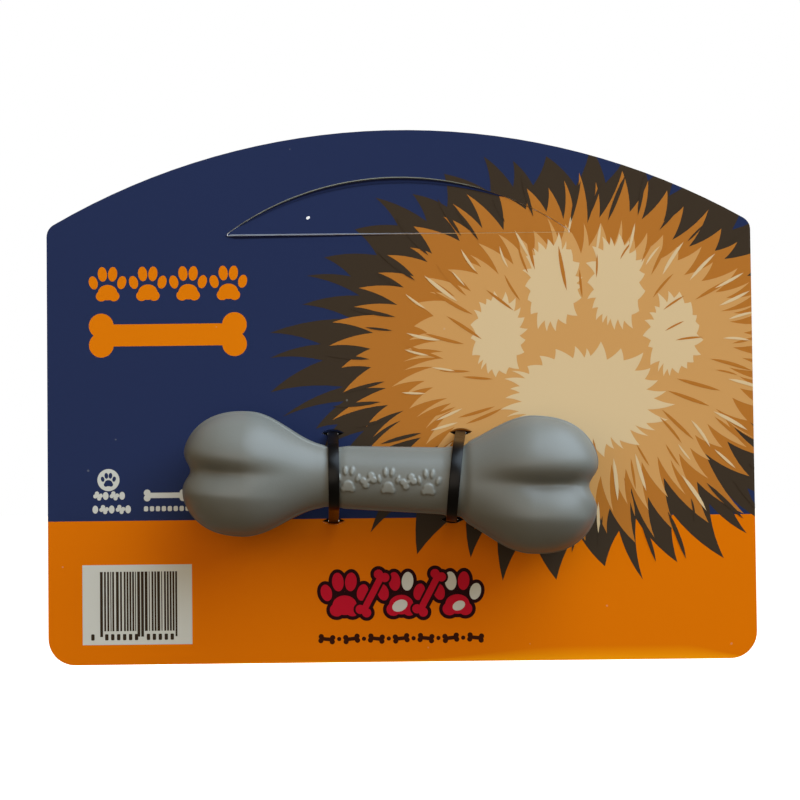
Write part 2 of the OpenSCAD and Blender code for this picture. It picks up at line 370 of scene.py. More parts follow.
def makeFloor():
    # bright where it is seen, dark and warm for the light that it throws back
    material, tree, shader = newMaterial("floorPaper", Roughness=0.9, Specular_IOR_Level=0.1)
    seen = rayShares(tree)[0]
    colour = mixColours(tree, seen, (*studio["floorBounce"], 1), tone(studio["floorTone"]))
    glow = mathNode(tree, "MULTIPLY", seen, studio["floorLift"])
    paint(tree, shader, Base_Color=colour, Emission_Color=(1, 1, 1, 1), Emission_Strength=glow)
    bm = bmesh.new()
    bmesh.ops.create_grid(bm, x_segments=1, y_segments=1, size=studio["floorHalf"])
    bmesh.ops.translate(bm, vec=(0, 0, cardBottom - studio["floorDrop"]), verts=bm.verts)
    floor = linkObject("floor", meshFrom(bm, "floor"))
    floor.data.materials.append(material)


makeCamera(cameraView)
makeRoom()
for name, values in studio["lamps"].items():
    makeLamp(name, *values)
makeFloor()
print("camera and studio ready")


# Rubber bone

bone = {  # mm and degrees
    "length": 141, "x": -3.6, "slope": 2.7,
    "height": 65.2,  # of its middle over the card's bottom edge
    "left": {
        "radius": 21.2, "reach": 21.5, "neck": 28.5, "fullness": 2.4, "shaft": 10.5,
        "axisY": -20.267, "tipDepth": 3.0, "tipWidth": 4.0, "creaseDepth": 5.0, "creaseWidth": 4.9,
        "creaseRise": 12, "creaseHold": 8, "creaseLength": 42, "slopeRun": 6.8, "flatten": 0,
    },
    "right": {
        "radius": 23.26, "reach": 22.5, "neck": 31.5, "fullness": 2.5, "shaft": 11.3,
        "axisY": -21.349, "tipDepth": 3.6, "tipWidth": 4.9, "creaseDepth": 7.0, "creaseWidth": 6.4,
        "creaseRise": 10, "creaseHold": 18, "creaseLength": 50, "slopeRun": 10.2, "flatten": 0.03,
    },
    "creaseTurn": 1.2, "creaseLift": 2.6, "liftRun": 28,  # the turn, and more of it towards the tips
    "broadShare": 0.12, "broadWidth": 1.7,  # of the crease that is a wide hollow, the rest is a groove
    "grooveWidth": 0.66,
    "slopeRound": 0.014, "slopeRise": 6,  # how softly the slope below the crease meets the lower lobe
    "seats": ((51.27, 10.13), (92.61, 11.81)),  # place along the bone and radius under each strap
    "seatReach": 3.24,
    "partingOffset": 4.5, "partingHeight": 0.3, "partingWidth": 0.42,  # of the mould line
    "partingLeast": 13.5, "partingFade": 6,  # radius where it keeps its angle, and where it sinks away
    "partingColumn": 72,  # degrees from the front, of the column of points that goes to it
    "gatherWide": 28, "gatherNear": 9, "gatherShare": 0.75,  # how the columns beside it follow
    "columns": 240, "capRings": 30, "neckRings": 46, "shaftRings": 140, "tipCrowding": 1.3,
}
paw = {  # x, height, half width, half height and lean of its pads, as shares of the half height
    "leftToes": ((-0.78, 0.12, 0.24, 0.36, 14), (-0.28, 0.58, 0.25, 0.40, 5)),
    "heel": ((0, -0.42, 0.52, 0.42, 0), (-0.34, -0.62, 0.30, 0.28, 0), (0.34, -0.62, 0.30, 0.28, 0)),
}
relief = {
    "height": 0.6, "edge": 0.6,  # of the raised pads, and the width of the slope round them
    "motifs": 5, "start": 56.8, "pitch": 6.642,  # a paw, a little bone and so on along the bone
    "lift": -0.4,  # of the row over the front line
    "pawSize": 5.0, "squeeze": 0.8,  # of the paws, and how narrow they are along the bone
    "boneSize": (2.9, 2.2), "boneLean": -35, "knobShare": 0.62, "barShare": 0.42, "barSpots": 9,
    "padReach": 3.4,  # no pad goes further than this from its own middle
    "halfAngle": 1, "overrun": 4,  # radians from the front line, and mm past the straight shaft
}
shaftStart = bone["left"]["reach"] + bone["left"]["neck"]
shaftEnd = bone["length"] - bone["right"]["reach"] - bone["right"]["neck"]


def boneRadius(x):
    left, right = bone["left"], bone["right"]
    if x < shaftStart:
        radius = between(left["shaft"], left["radius"], ease((x - left["reach"]) / left["neck"]))
    elif x > shaftEnd:
        near = bone["length"] - right["reach"] - x
        radius = between(right["shaft"], right["radius"], ease(near / right["neck"]))
    else:
        share = (x - shaftStart) / (shaftEnd - shaftStart)
        radius = between(left["shaft"], right["shaft"], share)
    for place, seat in bone["seats"]:
        radius -= (radius - seat) * math.exp(-(((x - place) / bone["seatReach"]) ** 4))
    return radius


def capPoints(end):
    # the round tip of a knob, with rings that crowd towards its middle
    points = []
    power = 2 / end["fullness"]
    for step in range(bone["capRings"] + 1):
        angle = math.pi / 2 * (step / bone["capRings"]) ** bone["tipCrowding"]
        x = end["reach"] * (1 - max(math.cos(angle), 0) ** power)
        points.append((x, end["radius"] * math.sin(angle) ** power))
    return points


def boneProfile():
    left, right, length = bone["left"], bone["right"], bone["length"]
    points = capPoints(left)
    stretches = (
        (left["reach"], left["neck"], bone["neckRings"]),
        (shaftStart, shaftEnd - shaftStart, bone["shaftRings"]),
        (shaftEnd, right["neck"], bone["neckRings"]),
    )
    for start, run, rings in stretches:
        for ring in range(1, rings + 1):
            x = start + run * ring / rings
            points.append((x, boneRadius(x)))
    points += [(length - x, radius) for x, radius in reversed(capPoints(right)[:-1])]
    return points


def profileNormals(points):
    # the way out of the surface at each place along the bone
    normals = {}
    for index, (x, radius) in enumerate(points):
        before, after = points[max(index - 1, 0)], points[min(index + 1, len(points) - 1)]
        run = Vector((after[0] - before[0], after[1] - before[1])).normalized()
        normals[round(x, 3)] = (-run.y, run.x)
    normals[round(points[0][0], 3)] = (-1, 0)
    normals[round(points[-1][0], 3)] = (1, 0)
    return normals


def turnedSolid(points):
    bm = bmesh.new()
    chain = [bm.verts.new((x, -radius, 0)) for x, radius in points]
    for first, second in zip(chain, chain[1:]):
        bm.edges.new((first, second))
    bmesh.ops.spin(
        bm, geom=bm.verts[:] + bm.edges[:], cent=(0, 0, 0), axis=(1, 0, 0), dvec=(0, 0, 0),
        angle=2 * math.pi, steps=bone["columns"],
        use_merge=True, use_normal_flip=False, use_duplicate=False,
    )
    bmesh.ops.remove_doubles(bm, verts=bm.verts, dist=weld)
    bmesh.ops.recalc_face_normals(bm, faces=bm.faces)
    return bm


def nearEnd(x):
    # the values of the knob that a place belongs to, and how far it is from that tip
    return (bone["left"], x) if x < bone["length"] / 2 else (bone["right"], bone["length"] - x)


def creaseDepth(x, radius, angle):
    # depth of the crease at a place, in mm, and the part of it that lies in the groove
    end, near = nearEnd(x)
    if near >= end["creaseLength"]:
        return 0, 0
    roll = bone["creaseTurn"] + bone["creaseLift"] * ease(near / bone["liftRun"])
    height = radius * math.sin(angle - math.radians(roll))
    grown = 1 - ease(near / end["creaseRise"])
    depth = between(end["tipDepth"], end["creaseDepth"], grown)
    width = between(end["tipWidth"], end["creaseWidth"], grown)
    held = ease((near - end["creaseHold"]) / (end["creaseLength"] - end["creaseHold"]))
    groove = math.exp(-((height / width / between(1, bone["grooveWidth"], grown)) ** 2))
    broad = math.exp(-((height / width / bone["broadWidth"]) ** 2))
    shape = between(groove, broad, bone["broadShare"] * grown)
    if height < 0:
        left = 1 - (math.hypot(height, 1) - 1) / end["slopeRun"]
        slope = (left + math.sqrt(left * left + bone["slopeRound"])) / 2
        shape = between(shape, slope, 1 - ease(near / bone["slopeRise"]))
    return depth * held * shape, depth * held * groove


def gathered(angle, parting):
    # the columns of points gather on the mould line
    side = 1 if angle >= 0 else -1
    column = math.radians(bone["partingColumn"])
    away = (abs(angle) - column) / math.radians(bone["gatherWide"])
    angle += side * (parting - column) * math.exp(-(away ** 2))
    rest = abs(angle) - parting
    away = rest / math.radians(bone["gatherNear"])
    return angle - side * rest * bone["gatherShare"] * math.exp(-(away ** 2))


def pawPads(size):
    # middle, half sizes and lean of each pad, the toes first, for a paw of that half height
    toes = [*paw["leftToes"]]
    toes += [(-x, z, rx, rz, -lean) for x, z, rx, rz, lean in toes]
    pads = (*toes, *paw["heel"])
    return [(x * size, z * size, rx * size, rz * size, lean) for x, z, rx, rz, lean in pads]


def bonePads(halfLength, halfHeight):
    # a little bone as two round spots at each end and a row of smaller ones along its bar
    knob, bar = halfHeight * relief["knobShare"], halfHeight * relief["barShare"]
    run, rise = halfLength - knob, halfHeight - knob
    pads = [(x * run, z * rise, knob, knob, 0) for x in (-1, 1) for z in (-1, 1)]
    last = relief["barSpots"] - 1
    pads += [(run * (2 * spot / last - 1), 0, bar, bar, 0) for spot in range(last + 1)]
    return pads


def reliefPads():
    pads = []
    for index in range(relief["motifs"]):
        middle = relief["start"] + relief["pitch"] * index
        if index % 2 == 0:
            shape, slant, squeeze = pawPads(relief["pawSize"]), 0, relief["squeeze"]
        else:
            shape, slant, squeeze = bonePads(*relief["boneSize"]), relief["boneLean"], 1
        for x, z, rx, rz, lean in shape:
            dx, dz = leaned(x * squeeze, z, slant)
            pads.append((middle + dx, relief["lift"] + dz, rx * squeeze, rz, math.radians(lean)))
    return pads


def reliefHeight(pads, x, along):
    # 1 on top of the raised row and 0 beside it
    best = 0
    for px, pz, rx, rz, lean in pads:
        dx, dz = x - px, along - pz
        if max(abs(dx), abs(dz)) > relief["padReach"]:
            continue
        u = dx * math.cos(lean) + dz * math.sin(lean)
        v = dz * math.cos(lean) - dx * math.sin(lean)
        inside = (1 - math.hypot(u / rx, v / rz)) * min(rx, rz)
        best = max(best, 1 - ease(inside / relief["edge"]) if inside > 0 else 0)
    return best


def planTurn():
    # the bone's turn seen from above: both knobs rest on the card, and the right one is larger
    left, right = bone["left"], bone["right"]
    pitch = bone["length"] - left["reach"] - right["reach"]
    return math.asin((right["axisY"] - left["axisY"]) / pitch)


def axisY(x):
    left = bone["left"]
    along = bone["length"] / 2 + (x - bone["x"]) / math.cos(math.radians(bone["slope"]))
    return left["axisY"] + (along - left["reach"]) * math.tan(planTurn())


def axisZ(x):
    return cardBottom + bone["height"] - (x - bone["x"]) * math.tan(math.radians(bone["slope"]))


def bonePlace():
    left = bone["left"]
    middle = (bone["length"] / 2 - left["reach"]) * math.tan(planTurn()) + left["axisY"]
    return (
        Matrix.Translation((bone["x"], middle, cardBottom + bone["height"]))
        @ Matrix.Rotation(planTurn(), 4, "Z")
        @ turn(bone["slope"], "Y")
        @ Matrix.Translation((-bone["length"] / 2, 0, 0))
    )


def makeBone(material):
    points = boneProfile()
    normals = profileNormals(points)
    bm = turnedSolid(points)
    pads = reliefPads()
    # hollow carries the crease's depth for painted shade, raised carries the relief's height for a
    # painted highlight
    hollow = bm.verts.layers.float.new("hollow")
    raised = bm.verts.layers.float.new("raised")
    rowStart, rowEnd = shaftStart - relief["overrun"], shaftEnd + relief["overrun"]
    for vert in bm.verts:
        x, radius = vert.co.x, math.hypot(vert.co.y, vert.co.z)
        # the mould line is a straight line behind each outline
        parting = math.acos(bone["partingOffset"] / max(radius, bone["partingLeast"]))
        angle = gathered(math.atan2(vert.co.z, -vert.co.y), parting)
        depth, vert[hollow] = creaseDepth(x, radius, angle)
        offset = radius * (abs(angle) - parting) / bone["partingWidth"]
        fade = min(radius / bone["partingFade"], 1)
        height = bone["partingHeight"] * math.exp(-(offset ** 2)) * fade
        if rowStart < x < rowEnd and abs(angle) < relief["halfAngle"]:
            share = reliefHeight(pads, x, radius * angle)
            vert[raised] = share
            height += relief["height"] * share
        nx, nr = normals[round(x, 3)]
        radius += nr * (height - depth)
        x += nx * (height - depth)
        end, near = nearEnd(vert.co.x)
        isFront = abs(angle) < math.pi / 2
        flat = 1 - end["flatten"] * ease((near - end["reach"]) / end["neck"]) * isFront
        vert.co = (x, -radius * math.cos(angle) * flat, radius * math.sin(angle))

    bmesh.ops.transform(bm, matrix=bonePlace(), verts=bm.verts)
    piece = makePiece("chew_bone", bm, material, "card")
    piece.data.shade_smooth()
    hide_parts("rubber_bone")


rubber = {
    "sheen": 0.3,
    "cloud": (55.0, 4.0, 0.55), "grain": (1800.0, 3.0, 0.6),  # scale, detail and roughness of a noise
    "grainBump": (0.00004, 0.6),  # metres and strength
    "base": ((99, 101, 95), (109, 111, 105)),
    # painted shade in the crease, and a painted highlight on the raised row
    "marks": (("hollow", 0.05, (82, 78, 66)), ("raised", 0.35, (150, 153, 146))),
    "roughness": (0.12, 0.36),  # change with the cloud, and its lowest value
}


def rubberMaterial():
    # mottled grey, with painted shade that darkens the crease and a painted highlight that pales the
    # raised row
    material, tree, shader = newMaterial("greyRubber", Specular_IOR_Level=rubber["sheen"])
    clouds = mottled(tree, rubber["cloud"], rubber["base"], rubber["roughness"])
    base = clouds["Color"]
    for name, strength, colour in rubber["marks"]:
        share = mathNode(tree, "MULTIPLY", attribute(tree, name), strength, clamp=True)
        base = mixColours(tree, share, base, tone(colour))
    paint(tree, shader, Base_Color=base, Roughness=clouds["Roughness"])
    bumpFrom(tree, shader, noise(tree, *rubber["grain"]), *rubber["grainBump"])
    return material


makeBone(rubberMaterial())
print("bone ready")


# Cable ties

tie = {
    "width": 3.6, "thickness": 1.1, "edge": 0.28,
    "bend": 1.6, "tightBend": 0.8,  # radius of the strap's middle line behind the card, and at the head
    "bendShare": 0.49,  # the most of a straight stretch that a bend may take
    "bendSteps": 6, "loopSteps": 72,
    "backY": 0.617,  # the front of the strap and of the head behind the card
    "gap": 0.15, "smoothAngle": 35,
    "headWidth": 5.8, "headLength": 6.4, "headHeight": 4.4, "headEdge": 0.5,
    "windowHeight": -0.8,  # of the head's window over the head's middle
    "cutRoom": 1,  # of the cutting blocks past the head
    "tail": 1.19,
    "pawlRoom": 0.7, "pawlGap": 0.21, "pawlRoot": 0.3, "pawlEdge": 0.15,
    "pawlSpan": (1.76, 3.3),  # from the head's front
    "slitPitch": 31.2,
    "slitHeight": 65.4,  # midway between a tie's two slits, over the card's bottom edge
    "left": {"x": -24, "lean": 0, "turn": 3.3, "radius": 10.63},
    "right": {"x": 19.7, "lean": 6, "turn": -3.3, "radius": 12.66},
    "sheen": 0.18, "base": ((3, 3, 3), (8, 7, 6)),
    "cloud": (320.0, 3.0, 0.5), "cloudBump": (0.00005, 0.5), "roughness": (0.2, 0.22),
}


def tieMiddle(side):
    return Vector((tie[side]["x"], 0, cardBottom + tie["slitHeight"]))


def roundedPath(corners, radius):
    # the corners of a line in the Y Z plane, each cut off by an arc of short steps
    path = [corners[0]]
    for before, corner, after in zip(corners, corners[1:], corners[2:]):
        back, ahead = (before - corner).normalized(), (after - corner).normalized()
        half = back.angle(ahead) / 2
        longest = tie["bendShare"] * min((before - corner).length, (after - corner).length)
        cut = min(radius / math.tan(half), longest)
        middle = corner + (back + ahead).normalized() * cut / math.cos(half)
        start = corner + back * cut - middle
        sweep = (math.pi - 2 * half) * (1 if back.cross(ahead).x < 0 else -1)
        for step in range(tie["bendSteps"] + 1):
            turned = Matrix.Rotation(sweep * step / tie["bendSteps"], 3, "X") @ start
            path.append(middle + turned)
    path.append(corners[-1])
    return path


def strapPath(side):
    # from the head through the upper slit, round the bone and back through the lower slit
    values = tie[side]
    aslant = math.radians(values["turn"])
    loopX = values["x"] - axisY(values["x"]) * math.tan(aslant)
    loopZ = axisZ(loopX) - cardBottom - tie["slitHeight"]
    middle = Vector((0, axisY(values["x"]) / math.cos(aslant), loopZ))
    radius = values["radius"] + tie["thickness"] / 2
    backLine = tie["backY"] + tie["thickness"] / 2
    corners, angles = {}, {}
    for end in (1, -1):
        toSlit = Vector((-middle.y, tie["slitPitch"] / 2 - end * middle.z))
        lift = math.atan2(toSlit.y, toSlit.x) + math.acos(radius / toSlit.length)
        foot = middle + Vector((0, radius * math.cos(lift), end * radius * math.sin(lift)))
        slit = Vector((0, 0, end * tie["slitPitch"] / 2))
        run = (slit - foot).normalized()
        corners[end] = slit + run * backLine / run.y
        angles[end] = lift
    around = []
    for step in range(tie["loopSteps"] + 1):
        sweep = 2 * math.pi - angles[1] - angles[-1]
        angle = angles[1] + sweep * step / tie["loopSteps"]
        around.append(middle + Vector((0, radius * math.cos(angle), radius * math.sin(angle))))
    inHead = Vector((0, backLine, tie["headLength"] / 2 - tie["thickness"]))
    atWindow = Vector((0, backLine, tie["windowHeight"]))
    tailEnd = Vector((0, tie["backY"] + tie["headHeight"] + tie["tail"], tie["windowHeight"]))
    lead = roundedPath([inHead, corners[1], around[0]], tie["bend"])
    close = roundedPath([around[-1], corners[-1], atWindow, tailEnd], tie["tightBend"])
    return lead[:-1] + around + close[1:]


def sweepStrap(bm, path):
    # a rounded strap section carried along the path by extruding and turning it
    section = addRectangle(bm, tie["width"], tie["thickness"])
    bevel(bm, section, tie["edge"], 3, "VERTICES")
    frames = []
    for index, point in enumerate(path):
        before, after = path[max(index - 1, 0)], path[min(index + 1, len(path) - 1)]
        ahead = (after - before).normalized()
        side = Vector((1, 0, 0))
        basis = Matrix((side, ahead.cross(side), ahead)).transposed().to_4x4()
        frames.append(Matrix.Translation(point) @ basis)
    bmesh.ops.transform(bm, matrix=frames[0], verts=bm.verts)
    face = bm.faces[:][0]
    for here, following in zip(frames, frames[1:]):
        made = bmesh.ops.extrude_face_region(bm, geom=[face], use_keep_orig=here is frames[0])
        moved = [item for item in made["geom"] if isinstance(item, bmesh.types.BMVert)]
        face = next(item for item in made["geom"] if isinstance(item, bmesh.types.BMFace))
        bmesh.ops.transform(bm, matrix=following @ here.inverted(), verts=moved)
    bmesh.ops.recalc_face_normals(bm, faces=bm.faces)


def tieHead():
    # a block with a window for the strap's end, a passage along the card and a pawl
    half, halfLength = tie["headWidth"] / 2, tie["headLength"] / 2
    front, back = tie["backY"], tie["backY"] + tie["headHeight"]
    gap, strap, room = tie["gap"], tie["thickness"], tie["cutRoom"]
    sill = tie["windowHeight"] - strap / 2 - gap
    roof = tie["windowHeight"] + strap / 2 + tie["pawlRoom"]
    holeHalf = tie["width"] / 2 + gap
    block, window, passage = bmesh.new(), bmesh.new(), bmesh.new()
    addBlock(block, (-half, front, -halfLength), (half, back, halfLength), tie["headEdge"])
    addBlock(window, (-holeHalf, front - room, sill), (holeHalf, back + room, roof))
    block = carve("tieWindow", block, window)
    low = (-holeHalf, front - room, -halfLength - room)
    addBlock(passage, low, (holeHalf, front + strap + gap, tie["windowHeight"]))
    block = carve("tiePassage", block, passage)
    pawlHalf = tie["width"] / 2
    pawlFront, pawlBack = (front + depth for depth in tie["pawlSpan"])
    foot = tie["windowHeight"] + strap / 2 + tie["pawlGap"]
    high = (pawlHalf, pawlBack, roof + tie["pawlRoot"])
    addBlock(block, (-pawlHalf, pawlFront, foot), high, tie["pawlEdge"])
    return block


def makeTie(side, material):
    bm = tieHead()
    strap = bmesh.new()
    sweepStrap(strap, strapPath(side))
    swept = meshFrom(strap, "sweptStrap", 1)
    bm.from_mesh(swept)
    bpy.data.meshes.remove(swept)
    values = tie[side]
    place = Matrix.Translation(tieMiddle(side)) @ turn(values["lean"], "Y") @ turn(values["turn"], "Z")
    bmesh.ops.transform(bm, matrix=place, verts=bm.verts)
    piece = makePiece("tie_" + side, bm, material, "card", tie["smoothAngle"])
    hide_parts("cable_tie_" + side)


def nylonMaterial():
    material, tree, shader = newMaterial("blackNylon", Specular_IOR_Level=tie["sheen"])
    clouds = mottled(tree, tie["cloud"], tie["base"], tie["roughness"])
    paint(tree, shader, Base_Color=clouds["Color"], Roughness=clouds["Roughness"])
    bumpFrom(tree, shader, clouds["Cloud"], *tie["cloudBump"])
    return material


nylon = nylonMaterial()
makeTie("left", nylon)
makeTie("right", nylon)
print("ties ready")


# Board and its printing

inks = {  # as the screen shows them under plain light
    "navy": (35, 46, 80),
    "orange": (211, 110, 2),
    "darkBrown": (58, 48, 37),
    "foxBrown": (170, 108, 42),
    "tan": (195, 147, 87),
    "cream": (206, 182, 140),
    "title": (214, 117, 4),
    "white": (194, 197, 190),
    "barBrown": (52, 42, 32),
    "red": (180, 22, 44),
    "outline": (38, 12, 16),
    "slogan": (52, 22, 10),
    # painted shadows under the crease and under the arch
    "shade": (14, 18, 38),
    "softShade": (26, 35, 64),
    # painted highlights along the crease and the arch's cut edge; the cut edge grey also gives the rim
    # painted shade
    "glint": (138, 148, 164),
    "edgeGlintAndShade": (134, 138, 128),
    "scuff": (236, 238, 240),
}
board = {
    "zoneLine": 50.7,  # height of the orange band's top edge over the card's bottom edge
    "foldTilt": 1.0, "foldZ": -20.0,
    "inkThickness": 0.02, "cutReach": 1,  # of an ink sheet, and of the block that shapes it
    "frontLimit": -0.5,  # faces whose normal has less than this along Y are printed
    "sheen": 0.02,
    "plain": (196, 196, 190), "core": (205, 203, 195),
    "fibre": (260.0, 5.0, 0.7), "fibreRoughness": (0.2, 0.6),
    "peel": (900.0, 2.0, 0.5), "peelBump": (0.00002, 0.5),
    "gloss": (14.0, 3.0, 0.5), "glossRoughness": (0.16, 0.30),
    "fleckScale": 110.0, "fleckRadius": 0.045, "fleckStrength": 0.14,
    "fleckLimit": 0.72,  # share of the flecks that are left out
    # painted highlight: the lighter orange along the bottom edge
    "paleEdge": (232, 148, 8),  # the orange along the bottom edge, where the board turns to the light
    "paleHeights": (0.8, 5.0),  # of that band, at the left and at its widest
    "paleSpans": ((-0.09, -0.03), (0.0, 0.06), (0.124, 0.098)),  # metres: it starts, widens, narrows
}


def coatingGroup():
    # coated board: faint orange peel, roughness that varies and rare pale flecks
    group, given, end = newGroup(
        "coatedBoard",
        {
            "Color": "Color", "Fleck Color": "Color", "Fleck Strength": "Float",
            "Roughness Change": "Float", "Least Roughness": "Float",
        },
        {"Color": "Color", "Roughness": "Float", "Height": "Float"},
    )
    dust = addNode(group, "ShaderNodeTexVoronoi", {"Scale": board["fleckScale"], "Randomness": 1.0})
    group.links.new(addNode(group, "ShaderNodeTexCoord").outputs["Object"], dust.inputs["Vector"])
    rare = addNode(group, "ShaderNodeSeparateColor")
    group.links.new(dust.outputs["Color"], rare.inputs[0])
    speck = mathNode(group, "LESS_THAN", dust.outputs["Distance"], board["fleckRadius"])
    kept = mathNode(group, "GREATER_THAN", rare.outputs[0], board["fleckLimit"])
    fleck = mathNode(group, "MULTIPLY", speck, kept)
    share = mathNode(group, "MULTIPLY", fleck, given["Fleck Strength"])
    colour = mixColours(group, share, given["Color"], given["Fleck Color"])
    gloss, change = noise(group, *board["gloss"]), given["Roughness Change"]
    rough = mathNode(group, "MULTIPLY_ADD", gloss, change, given["Least Roughness"])
    paint(group, end, Color=colour, Roughness=rough, Height=noise(group, *board["peel"]))
    return group


def coated(tree, shader, colour):
    # the colour with the coating's flecks, and its roughness; its peel goes to the shader
    node = addNode(tree, "ShaderNodeGroup", node_tree=coating)
    change, least = board["glossRoughness"]
    paint(tree, node, Color=colour, Roughness_Change=change, Least_Roughness=least)
    paint(tree, node, Fleck_Color=tone(inks["white"]), Fleck_Strength=board["fleckStrength"])
    bumpFrom(tree, shader, node.outputs["Height"], *board["peelBump"])
    return node.outputs["Color"], node.outputs["Roughness"]


def inkMaterial(ink):
    material, tree, shader = newMaterial("ink_" + ink, Specular_IOR_Level=board["sheen"])
    base, rough = coated(tree, shader, tone(inks[ink]))
    paint(tree, shader, Base_Color=base, Roughness=rough)
    return material


def paleBand(tree):
    # mask of a painted highlight: 1 at the bottom edge and 0 above a band that widens towards the right
    # and ends at the corner
    across = coordinate(tree, "X")
    starts, rises, falls = (smoothSpan(tree, across, *span) for span in board["paleSpans"])
    low, high = (value * mm for value in board["paleHeights"])
    widest = mathNode(tree, "MULTIPLY", rises, falls)
    band = mathNode(tree, "MULTIPLY_ADD", widest, high - low, low)
    height = mathNode(tree, "SUBTRACT", coordinate(tree, "Z"), cardBottom * mm)
    pale = mathNode(tree, "SUBTRACT", 1, mathNode(tree, "DIVIDE", height, band), clamp=True)
    return mathNode(tree, "MULTIPLY", pale, starts)


def boardMaterial(name):
    # printed front in two zones, plain back, pale core at the cut edges
    material, tree, shader = newMaterial(name, Specular_IOR_Level=board["sheen"])
    line = (cardBottom + board["zoneLine"]) * mm
    isOrange = mathNode(tree, "LESS_THAN", coordinate(tree, "Z"), line)
    printed = mixColours(tree, isOrange, tone(inks["navy"]), tone(inks["orange"]))
    # painted highlight along the bottom edge
    printed = mixColours(tree, paleBand(tree), printed, tone(board["paleEdge"]))
    printed, coatRough = coated(tree, shader, printed)
    plain = mottled(tree, board["fibre"], (board["core"], board["plain"]), board["fibreRoughness"])
    isFront = mathNode(tree, "LESS_THAN", coordinate(tree, "Y", "Normal"), board["frontLimit"])
    rough = mixValues(tree, isFront, plain["Roughness"], coatRough)
    paint(tree, shader, Base_Color=mixColours(tree, isFront, plain["Color"], printed), Roughness=rough)
    return material


coating = coatingGroup()
for node in ("backing_card", "hang_flap"):
    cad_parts[node].material_slots[0].material = boardMaterial(node + "Board")
inkMaterials = {ink: inkMaterial(ink) for ink in inks}


def flapUpright(sign):
    # turns the flap's rest tilt off (1) or on again (-1) about its fold
    hinge = Vector((0, cardBack, board["foldZ"]))
    tilt = turn(sign * board["foldTilt"], "X")
    return Matrix.Translation(hinge) @ tilt @ Matrix.Translation(-hinge)


def boardPlate(node, layer):
    # the board's own outline as a thin sheet that lies on its front face, for ink to be cut with
    bm = bmesh.new()
    bm.from_mesh(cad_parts[node].data)
    bmesh.ops.scale(bm, vec=(1 / mm,) * 3, verts=bm.verts)
    bmesh.ops.remove_doubles(bm, verts=bm.verts, dist=weld)
    if node == "hang_flap":
        bmesh.ops.transform(bm, matrix=flapUpright(1), verts=bm.verts)
    deep = cardFront - layer * board["inkThickness"]
    for vert in bm.verts:
        vert.co.y = deep if vert.co.y > 0 else deep - board["inkThickness"]
    return bm


def printInk(name, shapes, ink, layer=0, boards=("backing_card",)):
    # shapes: a bmesh of flat faces in the X Z plane, stretched through the board and cut to it
    stretchFaces(shapes, cardFront - board["cutReach"], cardFront + board["cutReach"])
    block = meshFrom(shapes, name + "Block", 1)
    for node in boards:
        cutter = bmesh.new()
        cutter.from_mesh(block)
        result = carve(name + "Plate", boardPlate(node, layer), cutter, "INTERSECT", True)
        body, label = "card", name
        if node == "hang_flap":
            body, label = "flap", name + "_flap"
            bmesh.ops.transform(result, matrix=flapUpright(-1), verts=result.verts)
        makePiece(label, result, inkMaterials[ink], body)
    bpy.data.meshes.remove(block)


# The drawing functions put flat faces in the X Z plane; heights are over the card's bottom edge

def standing(x, height, lean):
    # takes a shape in the X Y plane to its place on the card
    return Matrix.Translation((x, 0, cardBottom + height)) @ turn(lean, "Y") @ turn(90, "X")


def addSpot(bm, x, height, halfWidth, halfHeight, lean=0):
    matrix = standing(x, height, lean) @ Matrix.Diagonal((halfWidth, halfHeight, 1, 1))
    bmesh.ops.create_circle(bm, cap_ends=True, radius=1, segments=40, matrix=matrix)


def addPanel(bm, left, bottom, right, top, corner=0):
    verts = addRectangle(bm, right - left, top - bottom)
    matrix = standing((left + right) / 2, (top + bottom) / 2, 0)
    bmesh.ops.transform(bm, matrix=matrix, verts=verts)
    if corner:
        bevel(bm, verts, corner, 8, "VERTICES")


def addOutline(bm, points):
    bm.faces.new([bm.verts.new((x, 0, cardBottom + height)) for x, height in points])


def printOutline(name, points, ink, layer, boards=("backing_card",)):
    shapes = bmesh.new()
    addOutline(shapes, points)
    printInk(name, shapes, ink, layer, boards)


def addPaw(bm, x, height, size, grow=0, picks=range(7)):
    for px, pz, rx, rz, lean in (pawPads(size)[pick] for pick in picks):
        addSpot(bm, x + px, height + pz, rx + grow, rz + grow, -lean)


printedBone = {"knobShare": 0.56, "barShare": 0.8}  # of its half height


def addBone(bm, x, height, halfLength, halfHeight, lean=0, bar=printedBone["barShare"], grow=0):
    knob = halfHeight * printedBone["knobShare"]
    for px in (-1, 1):
        for pz in (-1, 1):
            dx, dz = leaned(px * (halfLength - knob), pz * (halfHeight - knob), lean)
            addSpot(bm, x + dx, height + dz, knob + grow, knob + grow)
    verts = addRectangle(bm, 2 * (halfLength - knob), halfHeight * bar + 2 * grow)
    bmesh.ops.transform(bm, matrix=standing(x, height, lean), verts=verts)


def curve(start, pull, end):
    # points after the start along a quadratic curve
    points = []
    steps = 5
    for step in range(1, steps + 1):
        t = step / steps
        points.append(tuple(
            (1 - t) ** 2 * start[i] + 2 * t * (1 - t) * pull[i] + t * t * end[i] for i in (0, 1)
        ))
    return points


def bowed(start, end, bow):
    # the middle of two points, pushed to the right of the way by a share of its length
    run = end - start
    return (start + end) / 2 + Vector((run.y, -run.x)) * bow


tuft = {  # pairs are the least of a value and what chance adds to it
    "width": (0.45, 1.0), "valley": (0.2, 0.5), "reach": (0.15, 0.85),
    "sway": (0.7, 0.6), "hang": (0.6, 0.8), "hangIn": 0.25,
    "shortest": 0.55, "growth": 9, "longest": 1.25,  # narrow tufts are short
}
strand = {
    "steps": 5, "taper": 0.7, "spread": 0.7, "size": (0.6, 0.8),
    "lean": (26, 0.35), "bend": (2.4, 0.3),  # span in degrees or mm, and the share of it below zero
}


